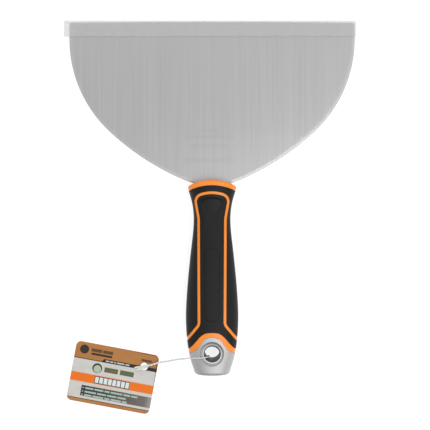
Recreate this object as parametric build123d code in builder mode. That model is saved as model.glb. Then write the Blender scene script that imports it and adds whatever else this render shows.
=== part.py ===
from build123d import *
import os
from math import cos, pi, sin, sqrt, tan, radians

# A flexible putty knife lying level on its back, millimetres.
# +X across the blade, +Y along the handle towards the edge, +Z out of the front face.
# The origin is on the floor, under the middle of the knife.

os.makedirs("parts", exist_ok=True)

# ---- driving dimensions -------------------------------------------------------------------
mid_z = 12.55               # height of the blade's mid-plane above the floor
below, through = -5, 40     # start and length of the cuts that pass right through in Z

blade_half = 101.5          # half the blade's width at its edge
edge_y = 125.2              # middle of the crowned edge
edge_crown = 0.6            # how far the corners fall behind the middle
side_y = 113.0              # the sides are straight from the edge back to here
shoulder_radius, shoulder_turn = 90, 47
waist_radius, waist_turn = 180, 23.2
stock = 1.5                 # thickness of the blade stock and the tang
grind_y = 45.0              # the hollow grind starts here

slot_half_width, slot_half_height, slot_y = 13.6, 1.3, 9.2
tang_front_half, tang_half, tang_end_y = 9.0, 7.0, -100.0
key_hole_radius, key_hole_ys = 2.5, (-20, -45, -70)

collar_front_y, collar_front_radius = 12.15, 39.0
collar_back_y, collar_back_radius = 8.6, 38.6
collar_round = 1.6          # rounding of the collar's front edge
rib_half = 0.85             # half the width of the raised orange lines
rib_drop = 0.25             # the hard core stands this far below the rubber and the cap
parting = 0.12              # parting gap round the rubber and round the cap
rubber_side, rubber_face = 2.8, 2.5   # rubber thickness at the sides, front and back

hole_y, hole_radius = -109.7, 5.45
lip_height = 9.9            # top of the rounded lip round the hanging hole, above mid_z
tenon_size, tenon_top_y = (19, 13), -84.0
pin_radius, pin_x, pin_y = 1.5, 5.0, -89.5

guard_left, guard_right = -105.4, 102.5
guard_lip_y, guard_fold_y, guard_wall, guard_gap_half = 114.7, 126.2, 0.6, 0.55

tag_size, tag_corner, tag_thick = (61.0, 43.6), 3.5, 0.5
tag_centre, tag_turn = (-72.2, -130.4), -10.7
tag_hole, tag_hole_radius = (-49.4, -122.4), 2.8
string_d = 1.0
knot_radius, knot_base_z, knot_height = 2.6, 0.85, 3.0

# ---- handle envelope ----------------------------------------------------------------------
# (half width, half thickness) of the oval sections, every 10 mm from beyond the collar to the
# cap's end: the flared collar, the finger neck, the palm swell and the taper of the cap.
first_station_y, station_step = 15.0, -10.0
oval_sizes = [
    (19.6, 12.55), (16.7, 12.3), (13.95, 10.4), (13.05, 9.45), (13.6, 9.75),
    (14.75, 10.5), (15.85, 11.3), (16.85, 11.9), (17.7, 12.3), (18.35, 12.5),
    (18.6, 12.5), (18.25, 12.2), (17.25, 11.6), (15.2, 10.7), (12.3, 9.6),
]
stations = [(first_station_y + i * station_step, *size) for i, size in enumerate(oval_sizes)]
oval_power = 2.3            # 2 is an ellipse; higher is squarer
oval_points = 16


def oval(half_width, half_thick):
    """Points round a superellipse centred on the handle's axis, in the section's plane."""
    points = []
    for i in range(oval_points):
        angle = 2 * pi * i / oval_points
        c, s = cos(angle), sin(angle)
        x = half_width * abs(c) ** (2 / oval_power) * (1 if c >= 0 else -1)
        z = half_thick * abs(s) ** (2 / oval_power) * (1 if s >= 0 else -1)
        points.append((x, mid_z + z))
    return points


def handle_body(side_inset, face_inset):
    """The handle's outer form, shrunk at its sides and faces by amounts that may vary along it."""
    with BuildPart() as body:
        for y, half_width, half_thick in stations:
            with BuildSketch(Plane.XZ.offset(-y)):
                with BuildLine():
                    Spline(*oval(half_width - side_inset(y), half_thick - face_inset(y)), periodic=True)
                make_face()
        loft()
        with BuildSketch(Plane.XY.offset(below)):
            add(collar_disc(collar_front_y, collar_front_radius))
        extrude(amount=through, mode=Mode.INTERSECT)
    return body.part


def collar_disc(top_y, radius):
    """A very long tongue whose upper end is an arc that peaks at top_y."""
    half, low = 30, -150
    shoulder_y = top_y - radius + sqrt(radius**2 - half**2)
    with BuildSketch() as tongue:
        with BuildLine():
            ThreePointArc((-half, shoulder_y), (0, top_y), (half, shoulder_y))
            Polyline((half, shoulder_y), (half, low), (-half, low), (-half, shoulder_y))
        make_face()
    return tongue.sketch


def below_ogee(right_side):
    """Everything below a bell-shaped line given by its points from the middle to the right."""
    low = -150
    left_side = [(-x, y) for x, y in reversed(right_side[1:])]
    line = left_side + right_side
    with BuildSketch() as field:
        with BuildLine():
            Spline(*line)
            Polyline(line[-1], (line[-1][0], low), (line[0][0], low), line[0])
        make_face()
    return field.sketch


def constant(value):
    return lambda y: value


# ---- the pattern of lines, drawn in plan and the same on both faces ------------------------
# Middle of the raised line: an arch under the collar, two long sides, then out to the flanks.
rib_corners = [(0, 4.45), (12.3, 0.7), (9.5, -14.9), (9.05, -88.8), (24.0, -107.7), (24.0, -150)]
rib_radii = [25, 5.2, 22, 5.5, 0, 0]
left_corners = [(-x, y) for x, y in reversed(rib_corners[1:])]
left_radii = list(reversed(rib_radii[1:]))
with BuildSketch() as inside_rib:
    with BuildLine():
        FilletPolyline(*rib_corners, *left_corners, radius=rib_radii + left_radii, close=True)
    make_face()

band_top = below_ogee([(0, -94.3), (5.4, -95.2), (10.5, -99.9), (14.8, -104.9), (20.0, -108.4)])
cap_line = [(0, -97.7), (4.8, -98.9), (9.5, -105.0), (13.4, -108.4), (20.0, -110.2)]
cap_area = below_ogee(cap_line)
cap_room = below_ogee([(x, y + parting) for x, y in cap_line])

with BuildSketch() as palm_area:
    add(inside_rib.sketch)
    offset(amount=-rib_half - parting, kind=Kind.ARC)
    add(band_top, mode=Mode.SUBTRACT)

with BuildSketch() as flank_area:
    add(collar_disc(collar_back_y - parting, collar_back_radius))
    offset(inside_rib.sketch, amount=rib_half + parting, kind=Kind.ARC, mode=Mode.SUBTRACT)

outer = handle_body(constant(0), constant(0))
core_outer = handle_body(constant(rib_drop), constant(rib_drop))
inner = handle_body(constant(rubber_side), constant(rubber_face))

# ---- blade and tang -----------------------------------------------------------------------
with BuildPart() as blade:
    with BuildSketch(Plane.XY.offset(below)):
        with BuildLine():
            corner_y = edge_y - edge_crown
            ThreePointArc((-blade_half, corner_y), (0, edge_y), (blade_half, corner_y))
            side = Line((blade_half, corner_y), (blade_half, side_y))
            shoulder = JernArc(side @ 1, (0, -1), shoulder_radius, -shoulder_turn)
            waist = JernArc(shoulder @ 1, shoulder % 1, waist_radius, -waist_turn)
            Line(waist @ 1, (0, (waist @ 1).Y))
            mirror((side, shoulder, waist), about=Plane.YZ)
            Line((0, (waist @ 1).Y), (-(waist @ 1).X, (waist @ 1).Y))
        make_face()
    extrude(amount=through)
    # Cross-section along the knife: flat stock, a hollow grind, and a thin working edge.
    with BuildSketch(Plane(origin=(-blade_half - 1, 0, mid_z), x_dir=(0, 1, 0), z_dir=(1, 0, 0))):
        with BuildLine():
            Polyline((0, 0), (0, stock / 2), (grind_y, stock / 2))
            ThreePointArc((grind_y, stock / 2), (82, 0.43), (118, 0.29))
            Polyline((118, 0.29), (edge_y + 1, 0.22), (edge_y + 1, 0), (0, 0))
        make_face()
        mirror(about=Plane.XZ)
    extrude(amount=2 * blade_half + 2, mode=Mode.INTERSECT)

with BuildPart() as tang:
    with BuildSketch(Plane.XY.offset(mid_z - stock / 2)):
        with BuildLine():
            Polyline((-tang_front_half, slot_y), (tang_front_half, slot_y), (tang_front_half, 0),
                     (tang_half, -12), (tang_half, tang_end_y), (-tang_half, tang_end_y),
                     (-tang_half, -12), (-tang_front_half, 0), (-tang_front_half, slot_y))
        make_face()
        with Locations(*[(0, y) for y in key_hole_ys]):
            Circle(key_hole_radius, mode=Mode.SUBTRACT)
        with Locations((-pin_x, pin_y), (pin_x, pin_y)):
            Circle(pin_radius, mode=Mode.SUBTRACT)
    extrude(amount=stock)

with BuildPart() as cap_pins:
    with BuildSketch(Plane.XY.offset(mid_z - tenon_size[1] / 2)):
        with Locations((-pin_x, pin_y), (pin_x, pin_y)):
            Circle(pin_radius)
    extrude(amount=tenon_size[1])

# ---- hammer cap ---------------------------------------------------------------------------
with BuildPart() as dish:
    # The bore, its rounded lip and the shallow dish round it, as one revolved cut.
    with BuildSketch(Plane.XZ.offset(-hole_y)):
        with BuildLine():
            top, lip = mid_z + 15, mid_z + lip_height
            Line((0, mid_z), (0, top))
            Line((0, top), (11.1, top))
            Line((11.1, top), (8.9, mid_z + 11.4))
            ThreePointArc((8.9, mid_z + 11.4), (8.0, lip - 0.1), (7.1, lip - 0.42))
            ThreePointArc((7.1, lip - 0.42), (6.7, lip - 0.28), (6.4, lip - 0.05))
            ThreePointArc((6.4, lip - 0.05), (5.75, lip - 0.05), (hole_radius, lip - 0.65))
            Line((hole_radius, lip - 0.65), (hole_radius, mid_z))
            Line((hole_radius, mid_z), (0, mid_z))
        make_face()
    revolve(axis=Axis((0, hole_y, 0), (0, 0, 1)))
    mirror(about=Plane.XY.offset(mid_z))

with BuildPart() as hammer_cap:
    add(outer)
    extrude(cap_area, amount=through, mode=Mode.INTERSECT)
    fillet(hammer_cap.faces().sort_by(Axis.Y)[0].edges(), radius=2.8)
    with BuildSketch(Plane.XZ.offset(-tenon_top_y)):
        with Locations((0, mid_z)):
            RectangleRounded(*tenon_size, 4)
    extrude(amount=tenon_top_y - hole_y - 9.0)
    add(dish.part, mode=Mode.SUBTRACT)
    add(tang.part, mode=Mode.SUBTRACT)
    add(cap_pins.part, mode=Mode.SUBTRACT)

# ---- hard core and soft grips -------------------------------------------------------------
with BuildPart() as rubber_space:
    extrude(palm_area.sketch, amount=through)
    extrude(flank_area.sketch, amount=through)
    add(inner, mode=Mode.SUBTRACT)

with BuildPart() as blade_slot:
    # The mouth that the blade's inner end sits in, with room for the blade to bend.
    with BuildSketch(Plane.XY.offset(mid_z - slot_half_height)):
        with Locations((0, slot_y)):
            Rectangle(2 * slot_half_width, 20, align=(Align.CENTER, Align.MIN))
    extrude(amount=2 * slot_half_height)

with BuildPart() as handle_core:
    add(core_outer)
    fillet(handle_core.faces().sort_by(Axis.Y)[-1].edges(), radius=collar_round)
    add(rubber_space.part, mode=Mode.SUBTRACT)
    extrude(cap_room, amount=through, mode=Mode.SUBTRACT)
    add(blade_slot.part, mode=Mode.SUBTRACT)
    add(hammer_cap.part, mode=Mode.SUBTRACT)
    add(tang.part, mode=Mode.SUBTRACT)
    add(cap_pins.part, mode=Mode.SUBTRACT)

# The thumb hollows have sloping walls; they are deepest under the arch and fade out at the palm.
thumb_top_y, thumb_end_y, thumb_depth = 0.2, -30.0, 0.9
thumb_start_z, thumb_slope = mid_z + 9, 40


def thumb_fade(y):
    share = (y - thumb_end_y) / (thumb_top_y - thumb_end_y)
    return thumb_depth * min(max(share, 0), 1.2)


thumb_floor = handle_body(constant(0), thumb_fade)
groove_floor = handle_body(constant(0), constant(0.4))

with BuildPart() as thumb_cut:
    with BuildSketch(Plane.XY.offset(thumb_start_z)):
        with BuildLine():
            FilletPolyline((0, -1.6), (7.6, -2.5), (6.6, -13), (6.2, -40), (-6.2, -40), (-6.6, -13),
                           (-7.6, -2.5), radius=[16, 1.6, 12, 0, 0, 12, 1.6], close=True)
        make_face()
    extrude(amount=6, taper=-thumb_slope)
    mirror(about=Plane.XY.offset(mid_z))
    add(thumb_floor, mode=Mode.SUBTRACT)

with BuildPart() as groove_cut:
    # A narrow groove that frames a plain capsule on each palm panel.
    with BuildSketch(Plane.XY.offset(below)):
        with Locations((0, -61.0)):
            SlotOverall(51.6, 10.6, rotation=90)
            SlotOverall(50.2, 9.2, rotation=90, mode=Mode.SUBTRACT)
    extrude(amount=through)
    add(groove_floor, mode=Mode.SUBTRACT)

with BuildPart() as palm_grip:
    extrude(palm_area.sketch, amount=through)
    add(outer, mode=Mode.INTERSECT)
    add(inner, mode=Mode.SUBTRACT)
    add(thumb_cut.part, mode=Mode.SUBTRACT)
    add(groove_cut.part, mode=Mode.SUBTRACT)

with BuildPart() as flank_grip:
    extrude(flank_area.sketch, amount=through)
    add(outer, mode=Mode.INTERSECT)
    add(inner, mode=Mode.SUBTRACT)

# ---- edge guard ---------------------------------------------------------------------------
with BuildPart() as edge_guard:
    guard_half = guard_gap_half + guard_wall
    with BuildSketch(Plane.YZ.offset(guard_left)):
        with Locations((guard_fold_y, mid_z)):
            RectangleRounded(2 * (guard_fold_y - guard_lip_y), 2 * guard_half, guard_half * 0.98,
                             align=(Align.MAX, Align.CENTER))
        with Locations((guard_lip_y, mid_z)):
            Rectangle(30, 4 * guard_half, align=(Align.MAX, Align.CENTER), mode=Mode.SUBTRACT)
            Rectangle(guard_fold_y - guard_wall - guard_lip_y, 2 * guard_gap_half,
                      align=(Align.MIN, Align.CENTER), mode=Mode.SUBTRACT)
    extrude(amount=guard_right - guard_left)

# ---- hang tag, string and knot ------------------------------------------------------------
with BuildPart() as hang_tag:
    with BuildSketch():
        with Locations(Location((*tag_centre, 0), (0, 0, tag_turn))):
            RectangleRounded(*tag_size, tag_corner)
        with Locations(tag_hole):
            Circle(tag_hole_radius, mode=Mode.SUBTRACT)
    extrude(amount=tag_thick)

with BuildPart() as tag_knot:
    with BuildSketch(Plane.XY.offset(knot_base_z)):
        with Locations(tag_hole):
            Circle(knot_radius)
    extrude(amount=knot_height)
    fillet(tag_knot.edges().filter_by(GeomType.CIRCLE), radius=1.2)

# The string is one loop: two strands twisted together from the knot to the cap's side, where
# one goes over the cap to the hole's front rim and the other under it to the back rim.
lead_route = [(-47.0, -121.6, 2.0), (-43.2, -120.7, 2.05), (-38.6, -119.2, 1.95),
              (-32.4, -118.5, 1.25), (-26.6, -117.4, 1.1), (-21.6, -116.8, 1.12)]
front_route = [(-21.6, -116.8, 1.65), (-19.4, -116.2, 3.9), (-17.7, -115.0, 8.4),
               (-16.6, -113.7, 14.2), (-14.4, -112.6, 19.7), (-10.4, -112.1, 22.7), (-6.4, -111.9, 23.4)]
back_route = [(-21.6, -116.8, 0.58), (-16.4, -116.5, 0.62), (-10.6, -115.6, 0.60), (-5.0, -114.7, 0.64)]


def corner_radii(route):
    """The largest sensible arc at each corner: 0.45 of the shorter run over tan(half the turn)."""
    radii = []
    for before, here, after in zip(route, route[1:], route[2:]):
        arrive, leave = Vector(here) - Vector(before), Vector(after) - Vector(here)
        turn = radians(arrive.get_angle(leave))
        radii.append(0.45 * min(arrive.length, leave.length) / tan(turn / 2))
    return radii


def string_tube(name, route, diameter):
    radii = corner_radii(route)
    with BuildPart() as tube:
        with BuildLine():
            path = FilletPolyline(*route, radius=radii)
        with BuildSketch(Plane(origin=path @ 0, z_dir=path % 0)):
            Circle(diameter / 2)
        sweep()
    length = path.length
    expected = pi * diameter**2 / 4 * length
    print(name, "length", round(length, 1), "radii", [round(r, 1) for r in radii],
          "volume share", round(tube.part.volume / expected, 4))
    return tube


string_lead = string_tube("string_lead", lead_route, 2 * string_d)
string_front = string_tube("string_front", front_route, string_d)
string_back = string_tube("string_back", back_route, string_d)

# ---- files --------------------------------------------------------------------------------
pieces = {
    "blade": blade, "tang": tang, "handle_core": handle_core, "palm_grip": palm_grip,
    "flank_grip": flank_grip, "hammer_cap": hammer_cap, "cap_pins": cap_pins,
    "edge_guard": edge_guard, "hang_tag": hang_tag, "tag_knot": tag_knot,
    "string_lead": string_lead, "string_front": string_front, "string_back": string_back,
}
for name, piece in pieces.items():
    piece.part.label = name
    export_step(piece.part, f"parts/{name}.step")
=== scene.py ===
import math

import bmesh
import bpy
import numpy as np
from mathutils import Matrix, Vector


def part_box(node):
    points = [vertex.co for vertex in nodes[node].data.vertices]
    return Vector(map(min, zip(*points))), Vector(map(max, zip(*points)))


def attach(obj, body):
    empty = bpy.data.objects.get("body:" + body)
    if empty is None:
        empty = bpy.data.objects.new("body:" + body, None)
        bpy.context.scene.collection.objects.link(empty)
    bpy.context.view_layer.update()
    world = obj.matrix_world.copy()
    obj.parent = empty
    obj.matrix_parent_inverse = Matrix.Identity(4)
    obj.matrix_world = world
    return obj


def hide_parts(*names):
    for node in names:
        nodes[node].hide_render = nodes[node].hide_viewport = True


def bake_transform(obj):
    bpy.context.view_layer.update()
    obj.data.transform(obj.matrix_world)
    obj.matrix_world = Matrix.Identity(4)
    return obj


# The looks of a flexible putty knife that lies level on its back, in metres, in the CAD frame:
# +X across the blade, +Y along the handle towards the working edge, +Z out of the front face.
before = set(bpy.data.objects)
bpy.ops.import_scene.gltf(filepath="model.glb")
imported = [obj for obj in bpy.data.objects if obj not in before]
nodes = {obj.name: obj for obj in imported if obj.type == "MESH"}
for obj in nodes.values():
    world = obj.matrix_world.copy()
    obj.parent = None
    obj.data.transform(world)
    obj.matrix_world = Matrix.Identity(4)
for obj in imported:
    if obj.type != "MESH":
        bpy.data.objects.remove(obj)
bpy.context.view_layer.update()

MM = 0.001
collection = bpy.context.scene.collection
blade_low, blade_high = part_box("blade")
mid_z = (blade_low.z + blade_high.z) / 2


# ---- camera -------------------------------------------------------------------------------
camera_height = 0.540           # above the blade's plane
frame_width = 0.306             # width of the picture at the blade's plane
camera_over = (0.0021, -0.0122)  # the point that the camera looks straight down on
sensor_width = 36               # of the camera, in its own millimetres
camera = bpy.data.objects.new("camera", bpy.data.cameras.new("camera"))
camera.data.sensor_width = sensor_width
camera.data.lens = sensor_width * camera_height / frame_width
camera.location = (*camera_over, mid_z + camera_height)
camera.data.clip_start = 0.01
collection.objects.link(camera)
bpy.context.scene.camera = camera


# ---- mesh helpers -------------------------------------------------------------------------
def mesh_object(name, verts, faces, sharp_degrees=180):
    """A smooth-shaded mesh, with its edges over the given angle kept sharp."""
    mesh = bpy.data.meshes.new(name)
    mesh.from_pydata([tuple(v) for v in verts], [], faces)
    mesh.validate()
    outward = bmesh.new()
    outward.from_mesh(mesh)
    bmesh.ops.recalc_face_normals(outward, faces=outward.faces)
    outward.to_mesh(mesh)
    outward.free()
    mesh.polygons.foreach_set("use_smooth", [True] * len(mesh.polygons))
    mesh.set_sharp_from_angle(angle=math.radians(sharp_degrees))
    obj = bpy.data.objects.new(name, mesh)
    collection.objects.link(obj)
    return obj


def tube_faces(rings, around):
    """Quads between successive rings of vertices."""
    faces = []
    for i in range(rings - 1):
        for k in range(around):
            a, b = i * around + k, i * around + (k + 1) % around
            faces.append((a, b, b + around, a + around))
    return faces


def smooth_step(x):
    """0 up to x = 0, 1 from x = 1, and a smooth rise between."""
    x = min(max(x, 0.0), 1.0)
    return x * x * (3 - 2 * x)


def spline_points(name, route, resolution=12):
    """Points along the smooth curve whose control points are the route's."""
    curve = bpy.data.curves.new(name, "CURVE")
    curve.dimensions = "3D"
    curve.resolution_u = resolution
    spline = curve.splines.new("NURBS")
    spline.points.add(len(route) - 1)
    for point, co in zip(spline.points, route):
        point.co = (*co, 1)
    spline.order_u = 3
    spline.use_endpoint_u = True
    holder = bpy.data.objects.new(name, curve)
    collection.objects.link(holder)
    mesh = bpy.data.meshes.new_from_object(holder)
    points = [v.co.copy() for v in mesh.vertices]
    bpy.data.meshes.remove(mesh)
    bpy.data.objects.remove(holder)
    bpy.data.curves.remove(curve)
    return points


def resample(points, step):
    """The same line with evenly spaced points."""
    points = [Vector(p) for p in points]
    lengths = [0.0]
    for a, b in zip(points, points[1:]):
        lengths.append(lengths[-1] + (b - a).length)
    count = max(2, round(lengths[-1] / step))
    targets = np.linspace(0, lengths[-1], count + 1)
    columns = [np.interp(targets, lengths, [p[k] for p in points]) for k in range(3)]
    return [Vector(p) for p in zip(*columns)]


def frames_along(points):
    """Tangent and two side directions at each point, turning as little as possible."""
    tangents = []
    for i in range(len(points)):
        a, b = points[max(i - 1, 0)], points[min(i + 1, len(points) - 1)]
        tangents.append((b - a).normalized())
    side = Vector((0, 0, 1))
    result = []
    for t in tangents:
        side = (side - t * side.dot(t)).normalized()
        result.append((t, side, t.cross(side)))
    return result


end_share = 0.55                # of the full radius, at a tapered end
yarn_waist, yarn_lobe = 0.80, 0.24   # shares of the radius between the plies, and added on a ply
lobe_power = 0.8                # lower makes the plies rounder


def yarn_tube(name, points, radius, plies=2, pitch=2.6 * MM, around=14, taper=0, widen=1.0):
    """A closed tube with the rounded, twisted section of a plied cotton yarn."""
    verts = []
    travelled = 0.0
    frames = frames_along(points)
    for i, (p, (t, u, v)) in enumerate(zip(points, frames)):
        if i:
            travelled += (p - points[i - 1]).length
        twist = 2 * math.pi * travelled / pitch
        from_end = min(i, len(points) - 1 - i)
        shrink = end_share + (1 - end_share) * from_end / taper if from_end < taper else 1.0
        for k in range(around):
            angle = 2 * math.pi * k / around
            lobe = abs(math.cos(plies * (angle - twist) / 2))
            r = radius * shrink * (yarn_waist + yarn_lobe * lobe ** lobe_power)
            verts.append(p + (u * math.cos(angle) + v * math.sin(angle) * widen) * r)
    faces = tube_faces(len(points), around)
    faces.append(tuple(reversed(range(around))))
    faces.append(tuple(range((len(points) - 1) * around, len(points) * around)))
    return mesh_object(name, verts, faces)


# ---- string -------------------------------------------------------------------------------
# The string is one loop. Its route, in millimetres, is the CAD route with the part that runs
# through the hole.
lead_route = [(-47.0, -121.6, 2.0), (-43.2, -120.7, 2.05), (-38.6, -119.2, 1.95),
              (-32.4, -118.5, 1.25), (-26.6, -117.4, 1.1), (-21.6, -116.8, 1.12)]
front_route = [(-21.6, -116.8, 1.65), (-19.4, -116.2, 3.9), (-17.7, -115.0, 8.4),
               (-16.6, -113.7, 14.2), (-14.4, -112.6, 19.7), (-10.4, -112.1, 22.7), (-6.4, -111.9, 23.4)]
hole_route = [(-4.2, -111.6, 22.6), (-2.4, -111.7, 20.4), (-1.9, -112.3, 15.0), (-2.1, -113.3, 8.5),
              (-2.7, -113.9, 3.4), (-3.4, -114.3, 1.2)]
back_route = [(-5.0, -114.7, 0.64), (-10.6, -115.6, 0.60), (-16.4, -116.5, 0.62), (-21.6, -116.8, 0.58)]
tail_routes = [[(-51.0, -121.9, 0.9), (-49.4, -121.7, 1.5)], [(-49.2, -122.3, 1.5), (-50.8, -122.7, 0.9)]]
string_d = 0.8 * MM
strand_offset = 0.36 * MM       # of each strand from the middle of the twisted pair
lay_pitch = 5.2 * MM            # length in which the pair makes one turn
lay_fade = 3 * MM               # length over which the twist begins and ends
split_share = 0.6               # how far the twist has come where the strands part
nearly_upright = 1e-3           # a stretch this close to upright is left untwisted
step = 0.22 * MM

# The two frayed ends: their routes, in millimetres, and the yarn they are drawn as.
end_routes = [[(-45.9, -121.05, 2.0), (-48.2, -121.5, 2.35), (-51.8, -122.3, 1.9), (-56.6, -123.2, 1.0)],
              [(-46.1, -121.95, 2.0), (-48.3, -122.9, 2.2), (-51.4, -123.7, 1.75), (-55.7, -124.7, 0.95)]]
end_yarn = dict(radius=0.52 * MM, plies=3, pitch=9 * MM, around=20, taper=6, widen=1.45)

# The hitch: its turns, its length along the string, its radius and its place past the knot.
hitch_turns, hitch_length, hitch_radius, hitch_shift = 1.6, 1.3 * MM, 0.86 * MM, 0.4 * MM
hitch_points = 96

route_mm = (tail_routes[0] + lead_route[:-1] + front_route + hole_route + back_route
            + lead_route[-2::-1] + tail_routes[1])
string_route = [Vector(p) * MM for p in route_mm]
knot_at, split_at = Vector(lead_route[0]) * MM, Vector(lead_route[-1]) * MM


def laid_string():
    """The loop's centreline, with its two passes between knot and cap laid round each other."""
    line = resample(spline_points("string_route", string_route), step)
    count = len(line)
    half = count // 2

    def nearest(target, indices):
        return min(indices, key=lambda i: (line[i] - target).length)

    limits = [nearest(knot_at, range(half)), nearest(split_at, range(half)),
              nearest(split_at, range(half, count)), nearest(knot_at, range(half, count))]
    laid = []
    frames = frames_along(line)
    for i, point in enumerate(line):
        outward = i < half
        from_knot = (i - limits[0] if outward else limits[3] - i) * step
        to_split = (limits[1] - i if outward else i - limits[2]) * step
        share = smooth_step(from_knot / lay_fade + 1) * smooth_step(to_split / lay_fade + split_share)
        tangent = frames[i][0] * (1 if outward else -1)
        side = tangent.cross(Vector((0, 0, 1)))
        if side.length < nearly_upright or share == 0:
            laid.append(point)
            continue
        side.normalize()
        up = side.cross(tangent)
        angle = 2 * math.pi * from_knot / lay_pitch + (0 if outward else math.pi)
        laid.append(point + (side * math.cos(angle) + up * math.sin(angle)) * strand_offset * share)
    return resample(laid, step)


string_line = laid_string()
string = yarn_tube("string_loop", string_line, string_d / 2, taper=4)


def flat_ends():
    """The string's two ends, frayed flat side by side where they come out over the card's hole."""
    ends = []
    for route in end_routes:
        points = resample(spline_points("end_route", [Vector(p) * MM for p in route]), step)
        ends.append(yarn_tube("string_end", points, **end_yarn))
    return ends


def knot_wraps():
    """The half hitch that binds the two strands beside the card's hole."""
    axis = (Vector(lead_route[1]) - Vector(lead_route[0])).normalized()
    side = axis.cross(Vector((0, 0, 1))).normalized()
    up = side.cross(axis)
    middle = knot_at + axis * hitch_shift
    points = []
    for i in range(hitch_points + 1):
        share = i / hitch_points
        angle = 2 * math.pi * hitch_turns * share
        along = (share - 0.5) * hitch_length
        outwards = side * math.cos(angle) + up * math.sin(angle)
        points.append(middle + axis * along + outwards * hitch_radius)
    return yarn_tube("knot_wraps", resample(points, step), string_d / 2, taper=5)


knot = knot_wraps()
string_ends = flat_ends()


# ---- blade --------------------------------------------------------------------------------
# The CAD blade's outline and thickness, in millimetres, with the rolled rim that stamping leaves.
blade_half, corner_y, crown, side_y = 101.5, 124.6, 0.6, 113.0
shoulder_radius, shoulder_turn = 90, math.radians(47)
waist_radius, waist_turn = 180, math.radians(23.2)
stock_half, mid_grind_half, thin_half = 0.75, 0.43, 0.29      # half thicknesses, and where they are
grind_y, mid_grind_y, thin_y = 45, 82, 118
edge_thinning = 0.07            # more, from there to the working edge
rim_width, rim_bevel, rim_round = 1.8, 0.25, 0.15
bevel_power, round_power = 1.4, 12     # higher keeps the fall nearer the outline
rim_depth_limit = 0.75          # of the half thickness, at most
rim_from, rim_full = 6, 10      # the rim fades in between these, in front of the collar
row_step = 1.8
rim_columns, face_columns, rim_crowding = 14, 45, 1.5
hollow = np.polyfit((grind_y, mid_grind_y, thin_y), (stock_half, mid_grind_half, thin_half), 2)


def half_thickness(y):
    """Flat stock, a hollow grind, then a straight taper to the working edge."""
    if y < grind_y:
        return stock_half
    if y < thin_y:
        return float(np.polyval(hollow, y))
    return thin_half - edge_thinning * (y - thin_y) / (corner_y + crown - thin_y)


def blade_rows():
    """Right-hand outline points from the edge's corner to the tail: (x, y, turn from straight)."""
    count = math.ceil((corner_y - side_y) / row_step)
    rows = [(blade_half, corner_y + (side_y - corner_y) * i / count, 0.0) for i in range(count)]
    centre, begin = Vector((blade_half - shoulder_radius, side_y)), 0.0
    for radius, turn in ((shoulder_radius, shoulder_turn), (waist_radius, waist_turn)):
        count = math.ceil(radius * turn / row_step)
        for i in range(count + 1):
            angle = begin + turn * i / count
            if i or not begin:
                rows.append((centre.x + radius * math.cos(angle), centre.y - radius * math.sin(angle), angle))
        begin += turn
        centre -= Vector((math.cos(begin), -math.sin(begin))) * (waist_radius - radius)
    return rows


def rim_fall(share):
    """How far the rim falls below the face: a faint bevel, then a tight round at the outline."""
    return rim_bevel * share ** bevel_power + rim_round * share ** round_power


def blade_mesh():
    """The blade, with the share of the rim kept at every vertex for its material."""
    # rim holds the rim's columns, from 0 at the outline inwards, and outer how near it each is.
    rim = [share ** rim_crowding for share in np.linspace(0, 1, rim_columns + 1)][:-1]
    inner = list(np.linspace(-1, 1, face_columns))
    outer = [1 - share for share in rim]
    on_rim = outer + [0.0] * len(inner) + outer[::-1]
    verts = []
    rows = blade_rows()
    for x, y, turn in rows:
        reach = rim_width / math.cos(turn)
        thick = half_thickness(y)
        depth = min(1, rim_depth_limit * thick / (rim_bevel + rim_round))
        depth *= smooth_step((y - rim_from) / (rim_full - rim_from))
        across = [(-x + reach * share, depth * rim_fall(1 - share)) for share in rim]
        across += [((x - reach) * share, 0.0) for share in inner]
        across += [(-px, fall) for px, fall in reversed(across[:len(rim)])]
        line_up = crown * smooth_step((y - side_y) / (corner_y - side_y))
        for side in (1, -1):
            for px, fall in across[::side]:
                bulge = line_up * (1 - (px / blade_half) ** 2)
                flat = Vector((px, y + bulge, side * (thick - fall))) * MM
                verts.append(flat + Vector((0, 0, mid_z)))
    wide = len(rim) * 2 + len(inner)
    faces = tube_faces(len(rows), 2 * wide)
    last = (len(rows) - 1) * 2 * wide
    for k in range(wide - 1):
        low_k = 2 * wide - 1 - k
        faces.append((k + 1, k, low_k, low_k - 1))
        faces.append((last + k, last + k + 1, last + low_k - 1, last + low_k))
    obj = mesh_object("blade_shape", verts, faces, sharp_degrees=40)
    rim_share = obj.data.attributes.new("rim_share", "FLOAT", "POINT")
    rim_share.data.foreach_set("value", (on_rim + on_rim[::-1]) * len(rows))
    return obj


blade_shape = blade_mesh()


# ---- hang tag -----------------------------------------------------------------------------
tag_size, tag_corner, tag_thick = (61.0, 43.6), 3.5, 0.5
tag_centre, tag_turn = Vector((-72.2, -130.4, 0)), math.radians(-10.7)
tag_hole, tag_hole_radius = Vector((-49.4, -122.4, 0)), 2.8
tag_bevel = 0.12
tag_curl = 0.9                  # how far the free corners lift
curl_middle, curl_slant = 0.6, 0.8     # shares of the curl: on the middle line, and added across it
corner_steps, outline_points = 8, 168
face_rings, face_from, face_to = 14, 0.04, 0.96      # shares of the way from the outline to the hole
rim_inset = 0.8                 # of the innermost ring that stays near each edge


def tag_outline(count):
    """Points round the card's rounded rectangle, in its own axes."""
    corners = []
    for k in range(4):
        middle_angle = math.radians(45 + 90 * k)
        cx = math.copysign(tag_size[0] / 2 - tag_corner, math.cos(middle_angle))
        cy = math.copysign(tag_size[1] / 2 - tag_corner, math.sin(middle_angle))
        for i in range(corner_steps + 1):
            angle = middle_angle + math.radians(-45 + 90 * i / corner_steps)
            corners.append(Vector((cx + tag_corner * math.cos(angle), cy + tag_corner * math.sin(angle), 0)))
    return resample(corners + corners[:1], (2 * sum(tag_size)) / count)[:-1]


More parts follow.
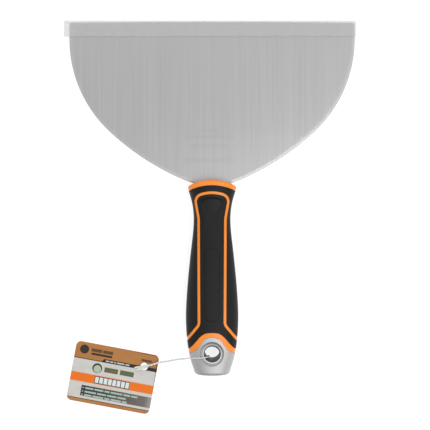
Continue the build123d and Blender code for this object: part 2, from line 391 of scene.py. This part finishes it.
def tag_mesh():
    """The punched card: rings of points from the hole to the outline, above and below."""
    turn = Matrix.Rotation(tag_turn, 3, "Z")
    hole = turn.transposed() @ (tag_hole - tag_centre)
    outline = tag_outline(outline_points)
    around = len(outline)
    rim = (0, tag_bevel, rim_inset)
    shares = list(np.linspace(face_from, face_to, face_rings))
    rings = 2 * (2 * len(rim) + len(shares))

    def ring_points(i):
        """The i-th ring on the card's face, counted from the outline to the hole."""
        for p in outline:
            away = p - hole
            span = away.length - tag_hole_radius
            radii = [span - d for d in rim] + [span * (1 - s) for s in shares] + list(reversed(rim))
            q = hole + away.normalized() * (tag_hole_radius + radii[i])
            slant = curl_middle + curl_slant * q.y / tag_size[1]
            lift = tag_curl * ((q.x - hole.x) / tag_size[0]) ** 2 * slant
            yield turn @ Vector((q.x, q.y, 0)) + tag_centre + Vector((0, 0, lift))

    verts = []
    for above, order in ((True, range(rings // 2)), (False, reversed(range(rings // 2)))):
        for i in order:
            trim = tag_bevel if i in (0, rings // 2 - 1) else 0
            height = tag_thick - trim if above else trim
            verts += [(p + Vector((0, 0, height))) * MM for p in ring_points(i)]
    faces = tube_faces(rings, around)
    for k in range(around):
        a, b = (rings - 1) * around + k, (rings - 1) * around + (k + 1) % around
        faces.append((a, b, (k + 1) % around, k))
    return mesh_object("tag_card", verts, faces, sharp_degrees=50)


tag_card = tag_mesh()


# ---- shader helper ------------------------------------------------------------------------
class Shader:
    """A node material with its Principled BSDF, and short ways to add and join nodes."""

    def __init__(self, name):
        self.material = bpy.data.materials.new(name)
        self.material.use_nodes = True
        self.tree = self.material.node_tree
        self.bsdf = self.tree.nodes["Principled BSDF"]
        self.coords = self.tree.nodes.new("ShaderNodeTexCoord").outputs["Object"]

    def set(self, **values):
        for key, value in values.items():
            socket = self.bsdf.inputs[key.replace("_", " ")]
            if isinstance(value, bpy.types.NodeSocket):
                self.tree.links.new(value, socket)
            else:
                socket.default_value = (*value, 1) if isinstance(value, tuple) else value
        return self

    def node(self, kind, inputs=(), **settings):
        node = self.tree.nodes.new("ShaderNode" + kind)
        for key, value in settings.items():
            setattr(node, key, value)
        for key, value in dict(inputs).items():
            if isinstance(value, bpy.types.NodeSocket):
                self.tree.links.new(value, node.inputs[key])
            else:
                node.inputs[key].default_value = value
        return node

    def scaled(self, x, y, z, turn=0.0, move=(0, 0, 0)):
        """Object coordinates, moved, turned about Z, then scaled."""
        moved = self.node("VectorMath", {0: self.coords, 1: move}, operation="SUBTRACT").outputs[0]
        turned = self.node("Mapping", {"Vector": moved, "Rotation": (0, 0, turn)})
        return self.node("VectorMath", {0: turned.outputs[0], 1: (x, y, z)},
                         operation="MULTIPLY").outputs[0]

    def noise(self, vector, scale=1.0, detail=2.0, roughness=0.5):
        return self.node("TexNoise", {"Vector": vector, "Scale": scale, "Detail": detail,
                                      "Roughness": roughness}).outputs["Fac"]

    def ramp(self, fac, *stops):
        node = self.node("ValToRGB", {"Fac": fac})
        elements = node.color_ramp.elements
        while len(elements) < len(stops):
            elements.new(0.5)
        for element, (place, color) in zip(elements, stops):
            element.position = place
            element.color = (*color, 1)
        return node.outputs["Color"]

    def math(self, operation, a, b=0.0, c=0.0):
        return self.node("Math", {0: a, 1: b, 2: c}, operation=operation).outputs[0]

    def between(self, fac, low, high):
        """low where the pattern is 0, and high where it is 1."""
        return self.math("MULTIPLY_ADD", fac, high - low, low)

    def axes(self, vector):
        return self.node("SeparateXYZ", {"Vector": vector}).outputs

    def inside(self, value, low, high, soft=0.08):
        """1 where value lies between low and high, and 0 elsewhere, with a soft edge."""
        away = self.math("ABSOLUTE", self.math("SUBTRACT", value, (low + high) / 2))
        half = (high - low) / 2
        node = self.node("MapRange", {"Value": away, "From Min": half - soft, "From Max": half + soft,
                                      "To Min": 1.0, "To Max": 0.0}, interpolation_type="SMOOTHSTEP")
        return node.outputs[0]

    def block(self, u, v, left, right, low, high, soft=0.08):
        """1 inside a rectangle."""
        return self.math("MULTIPLY", self.inside(u, left, right, soft), self.inside(v, low, high, soft))

    def disc(self, u, v, centre_u, centre_v, radius, soft=0.1):
        """1 inside a circle."""
        du, dv = self.math("SUBTRACT", u, centre_u), self.math("SUBTRACT", v, centre_v)
        squares = self.math("ADD", self.math("MULTIPLY", du, du), self.math("MULTIPLY", dv, dv))
        away = self.math("SQRT", squares)
        return self.inside(away, -radius, radius, soft)

    def mix(self, fac, a, b):
        def shade(value):
            return (*value, 1) if isinstance(value, tuple) else value
        node = self.node("Mix", data_type="RGBA")
        for key, value in ((0, fac), (6, shade(a)), (7, shade(b))):
            if isinstance(value, bpy.types.NodeSocket):
                self.tree.links.new(value, node.inputs[key])
            else:
                node.inputs[key].default_value = value
        return node.outputs[2]

    def bump(self, height, strength, distance):
        inputs = {"Height": height, "Strength": strength, "Distance": distance}
        return self.node("Bump", inputs).outputs["Normal"]


def wear(obj, shader):
    """Give the piece this material and no other."""
    obj.data.materials.clear()
    obj.data.materials.append(shader.material)


# ---- materials ----------------------------------------------------------------------------
# The three numbers given to scaled() for a pattern are its features per metre along each axis.
per_metre = 1000                # turns object coordinates into millimetres
lamp_share = 0.84               # of a printed colour, so that it looks right under these lamps


def grey(value):
    return (value, value, value)


def display(red, green, blue):
    """A printed colour as a screen shows it, 0 to 255, turned to linear light under these lamps."""
    def linear(value):
        value /= 255
        return lamp_share * (value / 12.92 if value <= 0.04045 else ((value + 0.055) / 1.055) ** 2.4)
    return linear(red), linear(green), linear(blue)


# Rows of the faint etch on the blade, as plain bars: left, right, low, high.
etch_bars = [(-8.1, 4.6, 46.6, 49.6), (-19.3, 15.4, 41.7, 44.6), (-14.9, 11.4, 35.2, 38.6),
             (-19.3, 8.1, 25.0, 28.2)]
etch_disc = (12.1, 26.3, 3.3)
rim_begins, rim_dullness = 0.12, 0.21  # where on the rim it turns satin, and how much rougher


def brushed_steel():
    s = Shader("brushed_steel")
    fine = s.noise(s.scaled(1900, 9, 1), detail=2, roughness=0.6)
    broad = s.noise(s.scaled(330, 3, 1), detail=2)
    cloud = s.noise(s.scaled(11, 8, 1), detail=2)
    lines = s.math("ADD", s.math("MULTIPLY", fine, 0.75), s.math("MULTIPLY", broad, 0.25))
    x, y = s.axes(s.scaled(per_metre, per_metre, 1))[:2]
    etched = s.disc(x, y, *etch_disc, soft=0.2)
    for bar in etch_bars:
        etched = s.math("MAXIMUM", etched, s.block(x, y, *bar, soft=0.2))
    dots = s.noise(s.scaled(900, 900, 1), detail=1)
    etched = s.math("MULTIPLY", etched, s.between(dots, 0.35, 0.85))
    polished = s.ramp(lines, (0.25, grey(0.512)), (0.75, grey(0.612)))
    color = s.mix(s.math("MULTIPLY", etched, 0.22), polished, grey(0.42))
    rough = s.math("ADD", s.math("MULTIPLY", lines, 0.10), s.between(cloud, 0.26, 0.32))
    on_rim = s.inside(s.node("Attribute", attribute_name="rim_share").outputs["Fac"], rim_begins, 2, soft=0.1)
    rough = s.math("ADD", rough, s.math("MULTIPLY", on_rim, rim_dullness))
    s.set(Base_Color=color, Metallic=1.0, Roughness=rough, Normal=s.bump(lines, 0.05, 0.02 * MM))
    return s


def orange_plastic():
    s = Shader("orange_plastic")
    cloud = s.noise(s.scaled(90, 90, 90), detail=3)
    pores = s.noise(s.scaled(2600, 2600, 2600), detail=2)
    color = s.mix(cloud, (0.87, 0.240, 0.018), (0.96, 0.285, 0.028))
    s.set(Base_Color=color, Roughness=s.between(cloud, 0.34, 0.46),
          Specular_IOR_Level=0.4, Normal=s.bump(pores, 0.12, 0.03 * MM))
    return s


def black_rubber():
    s = Shader("black_rubber")
    grain = s.noise(s.scaled(5200, 5200, 5200), detail=2)
    cloud = s.noise(s.scaled(60, 60, 60), detail=3)
    color = s.mix(cloud, (0.0075, 0.0075, 0.0078), (0.0110, 0.0110, 0.0114))
    s.set(Base_Color=color, Roughness=s.between(cloud, 0.50, 0.60),
          Specular_IOR_Level=0.22, Normal=s.bump(grain, 0.30, 0.04 * MM))
    return s


# Round the hanging hole, painted light in place of real shading: painted shade over the dish, a painted
# highlight on the lip and painted shade in the bore. Each is a middle and a radius, in millimetres, and a
# shade. The bore's disc sits a little high, so its painted shade darkens the lip's top.
hole_painted_light_rings = [(0, -109.7, 8.3, 0.38), (0, -109.7, 6.9, 0.76), (0.2, -109.25, 6.05, 0.13)]
end_shade_from, end_painted_shade = -124.1, 0.36      # where the painted shade along the cap's hammer end begins, and how dark it is


def cast_zinc():
    s = Shader("cast_zinc")
    pits = s.noise(s.scaled(1500, 1500, 1500), detail=3, roughness=0.65)
    cloud = s.noise(s.scaled(160, 160, 160), detail=3)
    color = s.mix(cloud, (0.54, 0.54, 0.542), (0.64, 0.64, 0.642))
    x, y = s.axes(s.scaled(per_metre, per_metre, 1))[:2]
    # Painted shade along the cap's end, where its rounded edge turns away from the light.
    color = s.mix(s.inside(y, 2 * end_shade_from, end_shade_from, soft=0.4), color, grey(end_painted_shade))
    # Lay the painted shade and the painted highlight round the hanging hole.
    for *ring, shade in hole_painted_light_rings:
        color = s.mix(s.disc(x, y, *ring, soft=0.2), color, grey(shade))
    s.set(Base_Color=color, Metallic=1.0, Roughness=s.between(cloud, 0.57, 0.67),
          Normal=s.bump(pits, 0.22, 0.06 * MM))
    return s


def frosted_plastic():
    s = Shader("frosted_plastic")
    cloud = s.noise(s.scaled(50, 220, 200), detail=2)
    grain = s.noise(s.scaled(2500, 2500, 2500), detail=2)
    s.set(Base_Color=grey(0.70), Roughness=s.between(cloud, 0.35, 0.50),
          Alpha=0.27, Specular_IOR_Level=0.3, Normal=s.bump(grain, 0.07, 0.04 * MM))
    return s


def cotton():
    s = Shader("cotton_string")
    fibres = s.noise(s.scaled(5000, 5000, 5000), detail=3)
    cloud = s.noise(s.scaled(300, 300, 300), detail=2)
    color = s.mix(cloud, (0.62, 0.63, 0.60), (0.76, 0.77, 0.74))
    s.set(Base_Color=color, Roughness=0.85, Sheen_Weight=0.2, Sheen_Roughness=0.6,
          Normal=s.bump(fibres, 0.6, 0.08 * MM))
    return s


def plain_steel():
    s = Shader("plain_steel")
    cloud = s.noise(s.scaled(200, 200, 200), detail=3)
    s.set(Base_Color=s.mix(cloud, (0.42, 0.42, 0.43), (0.55, 0.55, 0.56)), Metallic=1.0,
          Roughness=s.between(cloud, 0.3, 0.5))
    return s


# The card's print, in millimetres from the middle of the card, along its own axes.
card_reach = 31                 # just past the card's left and right ends
header_low, footer_high, strip_high, strip_left, strip_lean = 9.5, -19.0, 12.1, -10.5, 0.8
band_low, band_high = -7.0, -0.6
panel_left, panel_low, panel_high = -21.2, -17.1, -9.3
# Discs: a middle, a radius and a colour. One stands in the header, two on the board.
card_discs = [(-24.0, 16.6, 3.3, (58, 42, 30)), (-12.4, 4.6, 3.6, (66, 76, 58)),
              (-12.2, 4.0, 2.7, (188, 200, 180))]
# Rows of bars: the bottom, the top, the bars' lengths, the left end, the gap and a colour. They
# are the header's three and the strip's, the board's title, and the band's outline and blocks.
card_rows = [(15.9, 18.2, (7.8, 7.4), -18.9, 0.7, (104, 70, 40)),
             (13.5, 15.1, (15.2,), -18.4, 0, (60, 42, 28)),
             (15.8, 17.2, (7.6,), 18.1, 0, (92, 62, 38)),
             (10.35, 11.35, (2.6, 2.2, 1.2, 5.6, 3.0), -7.2, 0.7, (205, 204, 198)),
             (2.7, 6.3, (10.0, 10.2), -7.1, 1.5, (98, 106, 72)),
             (-6.5, -1.2, (25.9,), -12.9, 0, (60, 44, 32)),
             (-6.0, -1.7, (2.6,) * 8, -12.4, 0.6, (226, 238, 240))]
# The panel's three lines: the bottom and the lengths of its bars. A tick stands before each.
panel_lines = [(-11.7, (6, 6.6, 3.8, 8.6, 5.0, 4.6)), (-14.4, (8.4, 6.6, 6.8, 6.2)),
               (-16.8, (5.4, 8, 3.8, 7.6, 3.6))]
line_left, line_gap, line_height, line_color = -18.3, 0.8, 1.25, (176, 197, 184)
tick_left, tick_width, tick_low, tick_high = -20.3, 0.9, 0.2, 1.1


def printed_card():
    """The tag's print: plain bands, bars and discs where the real tag has lettering and marks."""
    s = Shader("tag_card")
    u, v, z = s.axes(s.scaled(per_metre, per_metre, per_metre, turn=-tag_turn, move=tuple(tag_centre * MM)))
    fleck = s.noise(s.scaled(700, 700, 700), detail=3, roughness=0.7)
    shade = s.noise(s.scaled(45, 45, 45), detail=2)

    # Pale board with faint courses of brickwork.
    courses = s.node("TexBrick", {"Vector": s.node("CombineXYZ", {"X": u, "Y": v}).outputs[0],
                                  "Scale": 1.0, "Mortar Size": 0.10, "Mortar Smooth": 0.6,
                                  "Brick Width": 8.4, "Row Height": 2.7,
                                  "Color1": (*display(222, 219, 214), 1),
                                  "Color2": (*display(213, 210, 205), 1),
                                  "Mortar": (*display(201, 198, 193), 1)}).outputs["Color"]
    color = s.mix(s.math("MULTIPLY", fleck, 0.35), courses, display(206, 204, 200))

    # Kraft header and footer, each with a dark line along its edge.
    kraft = s.mix(shade, display(176, 116, 58), display(204, 142, 80))
    kraft = s.mix(s.math("MULTIPLY", fleck, 0.4), kraft, display(160, 104, 52))
    color = s.mix(s.inside(v, header_low + 0.4, 30), color, kraft)
    color = s.mix(s.inside(v, -30, footer_high), color, kraft)
    ink = display(42, 38, 35)
    color = s.mix(s.block(u, v, -card_reach, -9, header_low, header_low + 0.6), color, ink)
    color = s.mix(s.block(u, v, -card_reach, card_reach, footer_high - 0.4, footer_high + 0.1), color,
                  display(86, 66, 50))

    # The black strip under the header, with a slanted left end.
    slanted = s.math("SUBTRACT", u, s.math("MULTIPLY", s.math("SUBTRACT", v, header_low + 0.1), strip_lean))
    color = s.mix(s.block(slanted, v, strip_left, card_reach, header_low, strip_high), color, ink)

    # Orange band, and a dark panel that fades to the right.
    color = s.mix(s.inside(v, band_low, band_high), color, display(246, 122, 20))
    fade = s.node("MapRange", {"Value": u, "From Min": -21, "From Max": 30}).outputs[0]
    panel = s.ramp(fade, (0.0, display(52, 49, 47)), (0.45, display(82, 77, 74)),
                   (0.92, display(118, 110, 106)), (1.0, display(160, 155, 152)))
    color = s.mix(s.block(u, v, panel_left, card_reach, panel_low, panel_high), color, panel)

    def words(low, high, lengths, left, gap):
        """Short plain bars in a row, as long as words."""
        total = None
        for length in lengths:
            bar = s.block(u, v, left, left + length, low, high, soft=0.12)
            total = bar if total is None else s.math("MAXIMUM", total, bar)
            left += length + gap
        return total

    for *circle, print_color in card_discs:
        color = s.mix(s.disc(u, v, *circle), color, display(*print_color))
    for *row, print_color in card_rows:
        color = s.mix(words(*row), color, display(*print_color))
    for low, lengths in panel_lines:
        line = words(low, low + line_height, lengths, line_left, line_gap)
        tick = words(low + tick_low, low + tick_high, (tick_width,), tick_left, 0)
        color = s.mix(line, color, display(*line_color))
        color = s.mix(tick, color, display(*line_color))

    # The print is on the upper face only; the cut edge and the back are plain board.
    color = s.mix(s.inside(z, tag_thick - 0.1, 4, soft=0.02), display(206, 198, 184), color)
    s.set(Base_Color=color, Roughness=s.between(fleck, 0.42, 0.54), Specular_IOR_Level=0.3,
          Normal=s.bump(fleck, 0.10, 0.03 * MM))
    return s


steel, orange, rubber, zinc = brushed_steel(), orange_plastic(), black_rubber(), cast_zinc()
frost, yarn, pin_steel, card = frosted_plastic(), cotton(), plain_steel(), printed_card()
wear(nodes["tang"], steel)
wear(nodes["handle_core"], orange)
wear(nodes["palm_grip"], rubber)
wear(nodes["flank_grip"], rubber)
wear(nodes["hammer_cap"], zinc)
wear(nodes["cap_pins"], pin_steel)
wear(nodes["edge_guard"], frost)

wear(blade_shape, steel)
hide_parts("blade")
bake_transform(blade_shape)

wear(tag_card, card)
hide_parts("hang_tag")
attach(tag_card, "tag")

for piece in (string, knot, *string_ends):
    wear(piece, yarn)
    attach(piece, "handle")
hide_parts("string_lead", "string_front", "string_back")
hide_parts("tag_knot")


# ---- stage and lights ---------------------------------------------------------------------
def plain(name, color, roughness, glow=0.0):
    s = Shader(name)
    s.set(Base_Color=color, Roughness=roughness, Specular_IOR_Level=0.2, Emission_Color=(1.0, 1.0, 1.0),
          Emission_Strength=glow)
    return s


def card_square(name, centre, across, up):
    """A flat rectangle spanned by two half sides."""
    centre, across, up = Vector(centre), Vector(across), Vector(up)
    return mesh_object(name, [centre - across - up, centre + across - up, centre + across + up,
                              centre - across + up], [(0, 1, 2, 3)])


# A pale table that glows enough to look white, and a dark card that only the shiny parts see.
floor = card_square("floor", (0, 0, -0.0002), (3.0, 0, 0), (0, 3.0, 0))
wear(floor, plain("pale_floor", grey(0.32), 0.8, glow=0.80))
flag = card_square("dark_card", (0, -0.80, 0.37), (0.9, 0, 0), (0, 0, 0.36))
wear(flag, plain("dark_card", grey(0.05), 0.9))
flag.visible_camera = flag.visible_diffuse = flag.visible_shadow = False


def area_light(name, location, target, size, power):
    light = bpy.data.lights.new(name, "AREA")
    light.shape = "RECTANGLE"
    light.size, light.size_y = size
    light.energy = power
    obj = bpy.data.objects.new(name, light)
    obj.location = location
    obj.rotation_euler = (Vector(target) - Vector(location)).to_track_quat("-Z", "Y").to_euler()
    obj.visible_camera = False
    collection.objects.link(obj)


area_light("key_lower_right", (0.40, -0.48, 1.15), (0, -0.02, 0), (0.9, 0.8), 6.5)
area_light("top_strip", (0.0, 1.05, 0.85), (0, -0.03, 0), (2.0, 0.9), 5)

# A white room that looks as bright as the floor, though it lights the object less.
room_light, room_look = 0.66, 1.0
world = bpy.data.worlds.new("studio")
world.use_nodes = True
background = world.node_tree.nodes["Background"]
background.inputs["Color"].default_value = (1.0, 1.0, 1.0, 1)
seen = world.node_tree.nodes.new("ShaderNodeLightPath")
brightness = world.node_tree.nodes.new("ShaderNodeMapRange")
brightness.inputs["To Min"].default_value = room_light
brightness.inputs["To Max"].default_value = room_look
world.node_tree.links.new(seen.outputs["Is Camera Ray"], brightness.inputs["Value"])
world.node_tree.links.new(brightness.outputs["Result"], background.inputs["Strength"])
bpy.context.scene.world = world
bpy.context.scene.view_settings.view_transform = "Standard"
